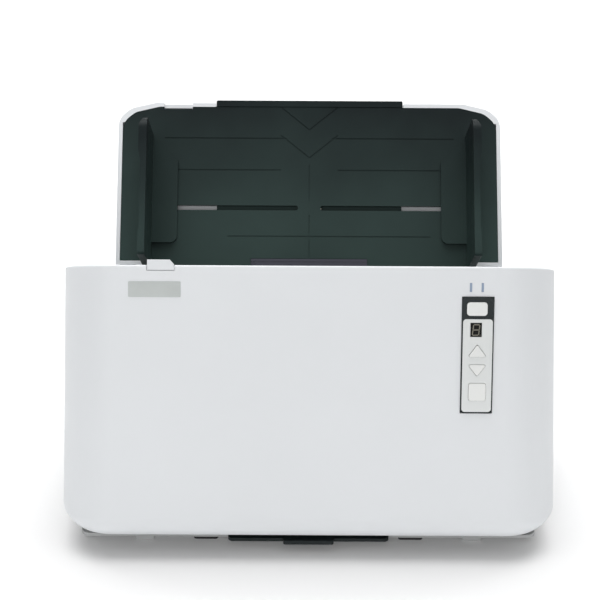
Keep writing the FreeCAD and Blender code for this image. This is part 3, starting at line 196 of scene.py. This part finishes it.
def glass(name):
    """Clear glass with a faint haze."""
    recipe = Recipe(name)
    recipe.constant("Transmission Weight", 0.9)
    recipe.constant("IOR", 1.5)
    haze = recipe.noise(HAZE_SCALE, detail=3)
    recipe.drive("Roughness", recipe.ranged(haze, *HAZE_GLOSS))
    recipe.drive("Base Color", recipe.mixed(recipe.ranged(haze, *FULL_FACTOR),
                                            (0.86, 0.91, 0.9), (0.93, 0.96, 0.95)))
    ripple = recipe.noise(GLASS_RIPPLE_SCALE)
    recipe.drive("Normal", recipe.bump(ripple, GLASS_RIPPLE_DEPTH, GLASS_RIPPLE_STRENGTH))
    return recipe


def circuit_board(name):
    """Green lacquer over faint tracks."""
    recipe = Recipe(name)
    tracks = recipe.add("ShaderNodeTexBrick")
    tracks.inputs["Scale"].default_value = TRACK_SCALE
    tracks.inputs["Mortar Size"].default_value = TRACK_GAP
    recipe.join(recipe.place, tracks.inputs["Vector"])
    recipe.drive("Base Color", recipe.mixed(tracks.outputs["Fac"],
                                            (0.012, 0.095, 0.035), (0.03, 0.2, 0.075)))
    recipe.drive("Roughness", recipe.ranged(recipe.noise(LACQUER_SCALE), *LACQUER_GLOSS))
    recipe.drive("Normal", recipe.bump(tracks.outputs["Fac"], TRACK_DEPTH))
    return recipe


WHITE_CASING = {"colour": (0.755, 0.775, 0.795), "gloss": 0.42, "spread": 0.012}
FINE_KEY = {"grain": 2600, "grain_depth": 0.000006}
GLOSSY = {"gloss": 0.3, "grain": 3000, "grain_depth": 0.000003}
SOFT_RUBBER = {"gloss": 0.72, "grain": 900, "grain_depth": 0.00003, "spread": 0.12, "cloud": 40}

MOULDED_SLOTS = {
    "shell_white": WHITE_CASING,
    "tray_white": WHITE_CASING,
    "inner_charcoal": {"colour": (0.012, 0.017, 0.018), "gloss": 0.5, "spread": 0.08,
                       "shine": 0.25},
    "strip_grey": {"colour": (0.060, 0.062, 0.085), "gloss": 0.3, "spread": 0.05},
    "base_grey": {"colour": (0.46, 0.47, 0.47), "gloss": 0.5, "spread": 0.03},
    "panel_grey": {"colour": (0.72, 0.74, 0.735), "gloss": 0.38, **FINE_KEY},
    "key_white": {"colour": (0.79, 0.8, 0.785), "gloss": 0.35, **FINE_KEY},
    "bezel_black": {"colour": (0.015, 0.021, 0.022), "shine": 0.25, **GLOSSY},
    "light_pipe_clear": {"colour": (0.27, 0.34, 0.46), "gloss": 0.18, "grain": 2000,
                         "grain_depth": 0.000003},
    "label_silver": {"colour": (0.50, 0.53, 0.52), "gloss": 0.4, "grain": 4000,
                     "grain_depth": 0.000004, "spread": 0.05, "cloud": 60},
    "foot_rubber": {"colour": (0.018, 0.018, 0.019), **SOFT_RUBBER},
    "roller_rubber": {"colour": (0.07, 0.07, 0.075), **SOFT_RUBBER},
    "gear_plastic": {"colour": (0.74, 0.71, 0.62), "gloss": 0.35},
    "socket_black": {"colour": (0.014, 0.014, 0.015), "gloss": 0.35},
}

RECIPES = {name: moulded(name, **settings) for name, settings in MOULDED_SLOTS.items()}
# The second, paler colour is the painted bounce light at the foot.
RECIPES["tray_charcoal"] = charcoal("tray_charcoal", (0.006, 0.011, 0.012),
                                    (0.038, 0.066, 0.060), gloss=0.5, shine=0.15)
RECIPES["steel"] = brushed("steel", (0.62, 0.62, 0.61), 0.25)
RECIPES["frame_steel"] = brushed("frame_steel", (0.52, 0.53, 0.53), 0.38, along=(1, 0.05, 1))
RECIPES["bush_brass"] = brushed("bush_brass", (0.66, 0.49, 0.22), 0.35)
RECIPES["board_green"] = circuit_board("board_green")
RECIPES["sensor_glass"] = glass("sensor_glass")

# A piece whose own finish differs from the rest of its slot.
OWN_FINISH = {
    "display_window": moulded("window_dark", (0.004, 0.005, 0.004), gloss=0.15, grain=3000,
                              grain_depth=0.000002, shine=0.2),
}


def dress_nodes():
    """Give every CAD node its slot's material, or its own finish where it has one."""
    for entry in frame["record"]["subparts"]:
        thing = NODES[entry["node"]]
        recipe = OWN_FINISH.get(entry["node"], RECIPES[entry["material_slot"]])
        thing.data.materials.clear()
        thing.data.materials.append(recipe.material)


dress_nodes()


def new_object(name, shape, recipe):
    """An object in the scene, made from a bmesh that this uses up, in one material."""
    mesh = bpy.data.meshes.new(name)
    shape.to_mesh(mesh)
    shape.free()
    mesh.materials.append(recipe.material)
    made = bpy.data.objects.new(name, mesh)
    bpy.context.scene.collection.objects.link(made)
    return made


# ---------------------------------------------------------------- the display's digit
FACE_LEAN = math.radians(16.45)
WINDOW_THICK = 1.1 * MM
# The digit's measures, in millimetres on the face.
HALF_WIDE, HALF_TALL = 1.95, 3.3
MIDDLE_UP = 4.4
HALF_BAR = 0.32
BAR_GAP = 0.06
SLANT = 0.12
PROUD = 0.03
DOT_ACROSS, DOT_HALF = 0.95, 0.33


def face_point(across, up, out, start):
    """A point on the leaning front face: across it, up it and out of it, from a start on it."""
    return (start[0] + across,
            start[1] + up * math.sin(FACE_LEAN) - out * math.cos(FACE_LEAN),
            start[2] + up * math.cos(FACE_LEAN) + out * math.sin(FACE_LEAN))


def bar_outline(length, upright):
    """A bar with pointed ends, reaching its length both ways from its middle."""
    outline = [(-length, 0), (-length + HALF_BAR, HALF_BAR), (length - HALF_BAR, HALF_BAR),
               (length, 0), (length - HALF_BAR, -HALF_BAR), (HALF_BAR - length, -HALF_BAR)]
    if upright:
        outline = [(across, along) for along, across in reversed(outline)]
    return outline


def digit_eight():
    """Seven unlit bars and a dot, slanted, just proud of the display window."""
    low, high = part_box("display_window")
    start = ((low[0] + high[0]) / 2, low[1], low[2] + WINDOW_THICK * math.sin(FACE_LEAN))
    shape = bmesh.new()

    def bar(x, y, length, upright=False):
        """One bar as a thin slab, its middle at x across and y up from the digit's."""
        rings = []
        for out in (0.0, PROUD):
            ring = []
            for across, along in bar_outline(length, upright):
                rise = y + along
                place = face_point((x + across + SLANT * rise) * MM, (MIDDLE_UP + rise) * MM,
                                   out * MM, start)
                ring.append(shape.verts.new(place))
            rings.append(ring)
        back, front = rings
        shape.faces.new(front)
        shape.faces.new(list(reversed(back)))
        for i in range(len(back)):
            j = (i + 1) % len(back)
            shape.faces.new((back[i], back[j], front[j], front[i]))

    for level in (-1, 0, 1):
        bar(0, level * HALF_TALL, HALF_WIDE - BAR_GAP)
    for side in (-1, 1):
        for level in (-0.5, 0.5):
            bar(side * HALF_WIDE, level * HALF_TALL, HALF_TALL / 2 - BAR_GAP, upright=True)
    bar(HALF_WIDE + DOT_ACROSS, -HALF_TALL, DOT_HALF)
    bmesh.ops.recalc_face_normals(shape, faces=shape.faces)
    digit = new_object("unlit_digit", shape, moulded("digit_grey", (0.18, 0.17, 0.135), **GLOSSY))
    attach(digit, "front_cover")


digit_eight()


# ---------------------------------------------------------------- floor, light, camera
# The floor's and the lamps' lengths are in metres.
FLOOR_NEAR, FLOOR_FAR, FLOOR_HALF_WIDTH = -6.0, 2.2, 7.0
BEND_RADIUS, BEND_STEPS, WALL_TOP = 1.2, 12, 6.0

WORLD_STRENGTH = 0.40
LAMPS = {
    "key_above": {"place": (0.0, 0.35, 1.9), "aim": (0, 0, 0.1), "size": (2.0, 1.2), "watts": 25},
    "fill_front": {"place": (-0.3, -2.4, 1.1), "aim": (0, 0, 0.15), "size": (1.6, 1.2),
                   "watts": 18},
    "backdrop_wash": {"place": (0.0, 1.4, 2.6), "aim": (0, 2.4, 0.2), "size": (4.0, 1.0),
                      "watts": 46},
}

# Where the camera stands and what it looks at, in millimetres, with Y from the tray's hinge.
CAMERA_PLACE = (-7.47, -1023.84, 595.8)
CAMERA_AIM = (-6.2, -76.04, 146.2)
CAMERA_ROLL = math.radians(0.34)
# Millimetres for the sensor and the lens, metres for the clipping distances.
SENSOR_WIDTH, FOCAL_LENGTH = 36, 96.9
CLIP_NEAR, CLIP_FAR = 0.05, 50


def studio():
    """A pale sweep under and behind the scanner."""
    profile = [(FLOOR_NEAR, 0.0), (FLOOR_FAR, 0.0)]
    for step in range(1, BEND_STEPS + 1):
        turn = math.radians(90 * step / BEND_STEPS)
        profile.append((FLOOR_FAR + BEND_RADIUS * math.sin(turn),
                        BEND_RADIUS * (1 - math.cos(turn))))
    profile.append((FLOOR_FAR + BEND_RADIUS, WALL_TOP))
    shape = bmesh.new()
    rows = [[shape.verts.new((x, y, z)) for x in (-FLOOR_HALF_WIDTH, FLOOR_HALF_WIDTH)]
            for y, z in profile]
    for near, far in zip(rows, rows[1:]):
        shape.faces.new((near[0], near[1], far[1], far[0]))
    floor = new_object("floor", shape, moulded("floor_paper", (0.93, 0.93, 0.93), gloss=0.7,
                                               grain=400, spread=0.006, cloud=2))
    for face in floor.data.polygons:
        face.use_smooth = True


def stand(name, data, place, aim):
    """A lamp or a camera at its place, level and turned to its aim."""
    holder = bpy.data.objects.new(name, data)
    holder.location = place
    holder.rotation_mode = "QUATERNION"
    holder.rotation_quaternion = (Vector(aim) - Vector(place)).to_track_quat("-Z", "Y")
    bpy.context.scene.collection.objects.link(holder)
    return holder


def lights():
    """A white room, with soft lamps above, in front and on the backdrop."""
    world = bpy.data.worlds.new("studio")
    world.use_nodes = True
    background = world.node_tree.nodes["Background"]
    background.inputs["Color"].default_value = (1, 1, 1, 1)
    background.inputs["Strength"].default_value = WORLD_STRENGTH
    bpy.context.scene.world = world
    for name, lamp in LAMPS.items():
        light = bpy.data.lights.new(name, "AREA")
        light.shape = "RECTANGLE"
        light.size, light.size_y = lamp["size"]
        light.energy = lamp["watts"]
        stand(name, light, lamp["place"], lamp["aim"])


def from_tray_hinge(point):
    """A point in metres, from millimetres with Y measured from the tray's hinge."""
    return point[0] * MM, TRAY_PIVOT[1] + point[1] * MM, point[2] * MM


def camera():
    """At the height and distance where the front, the open tray and the underside all show."""
    lens = bpy.data.cameras.new("camera")
    lens.sensor_width = SENSOR_WIDTH
    lens.lens = FOCAL_LENGTH
    lens.clip_start, lens.clip_end = CLIP_NEAR, CLIP_FAR
    holder = stand("camera", lens, from_tray_hinge(CAMERA_PLACE), from_tray_hinge(CAMERA_AIM))
    holder.rotation_quaternion = holder.rotation_quaternion @ Quaternion((0, 0, 1), CAMERA_ROLL)
    bpy.context.scene.camera = holder


studio()
lights()
camera()
bpy.context.scene.view_settings.view_transform = "Standard"
